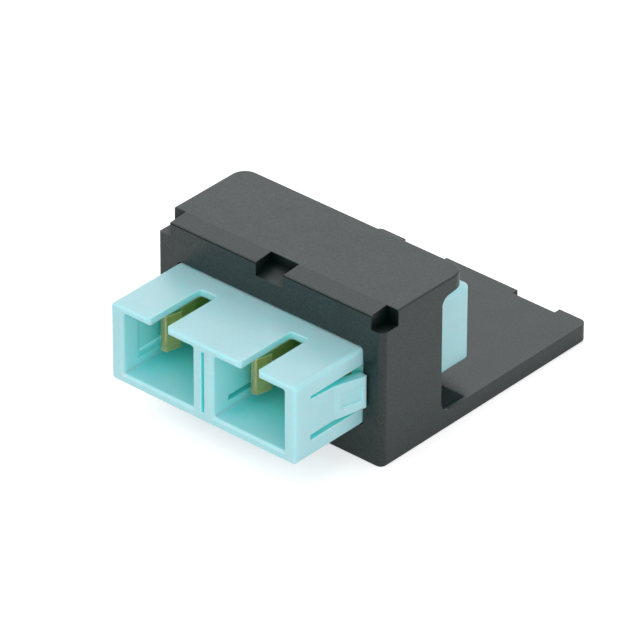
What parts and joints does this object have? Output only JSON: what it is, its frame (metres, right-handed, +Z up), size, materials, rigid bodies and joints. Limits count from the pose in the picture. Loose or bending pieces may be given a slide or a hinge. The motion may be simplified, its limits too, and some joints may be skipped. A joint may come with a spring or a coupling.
{
  "type": "sc fibre adapter module",
  "caption": "Black snap-in module frame with a flexing base plate, carrying an aqua duplex fibre adapter with keyed ports at front and back.",
  "frame": {"origin": "middle of the bounding box's footprint, on the surface that the base rests on", "axes": "+X to the right seen from the front ports, +Y to the back, +Z up"},
  "size_m": [0.0314, 0.0446, 0.0185],
  "materials": {
    "frame_black": "fine satin moulded black",
    "housing_aqua": "satin moulded aqua",
    "holder_amber": "smooth amber moulding",
    "sleeve_ceramic": "polished white ceramic"
  },
  "bodies": {
    "root": {"module_frame": "frame_black", "adapter_housing_front": "housing_aqua", "adapter_housing_rear": "housing_aqua", "sleeve_holder_front_left": "holder_amber", "sleeve_holder_front_right": "holder_amber", "sleeve_holder_rear_left": "holder_amber", "sleeve_holder_rear_right": "holder_amber", "alignment_sleeve_left": "sleeve_ceramic", "alignment_sleeve_right": "sleeve_ceramic"}
  },
  "joints": []
}
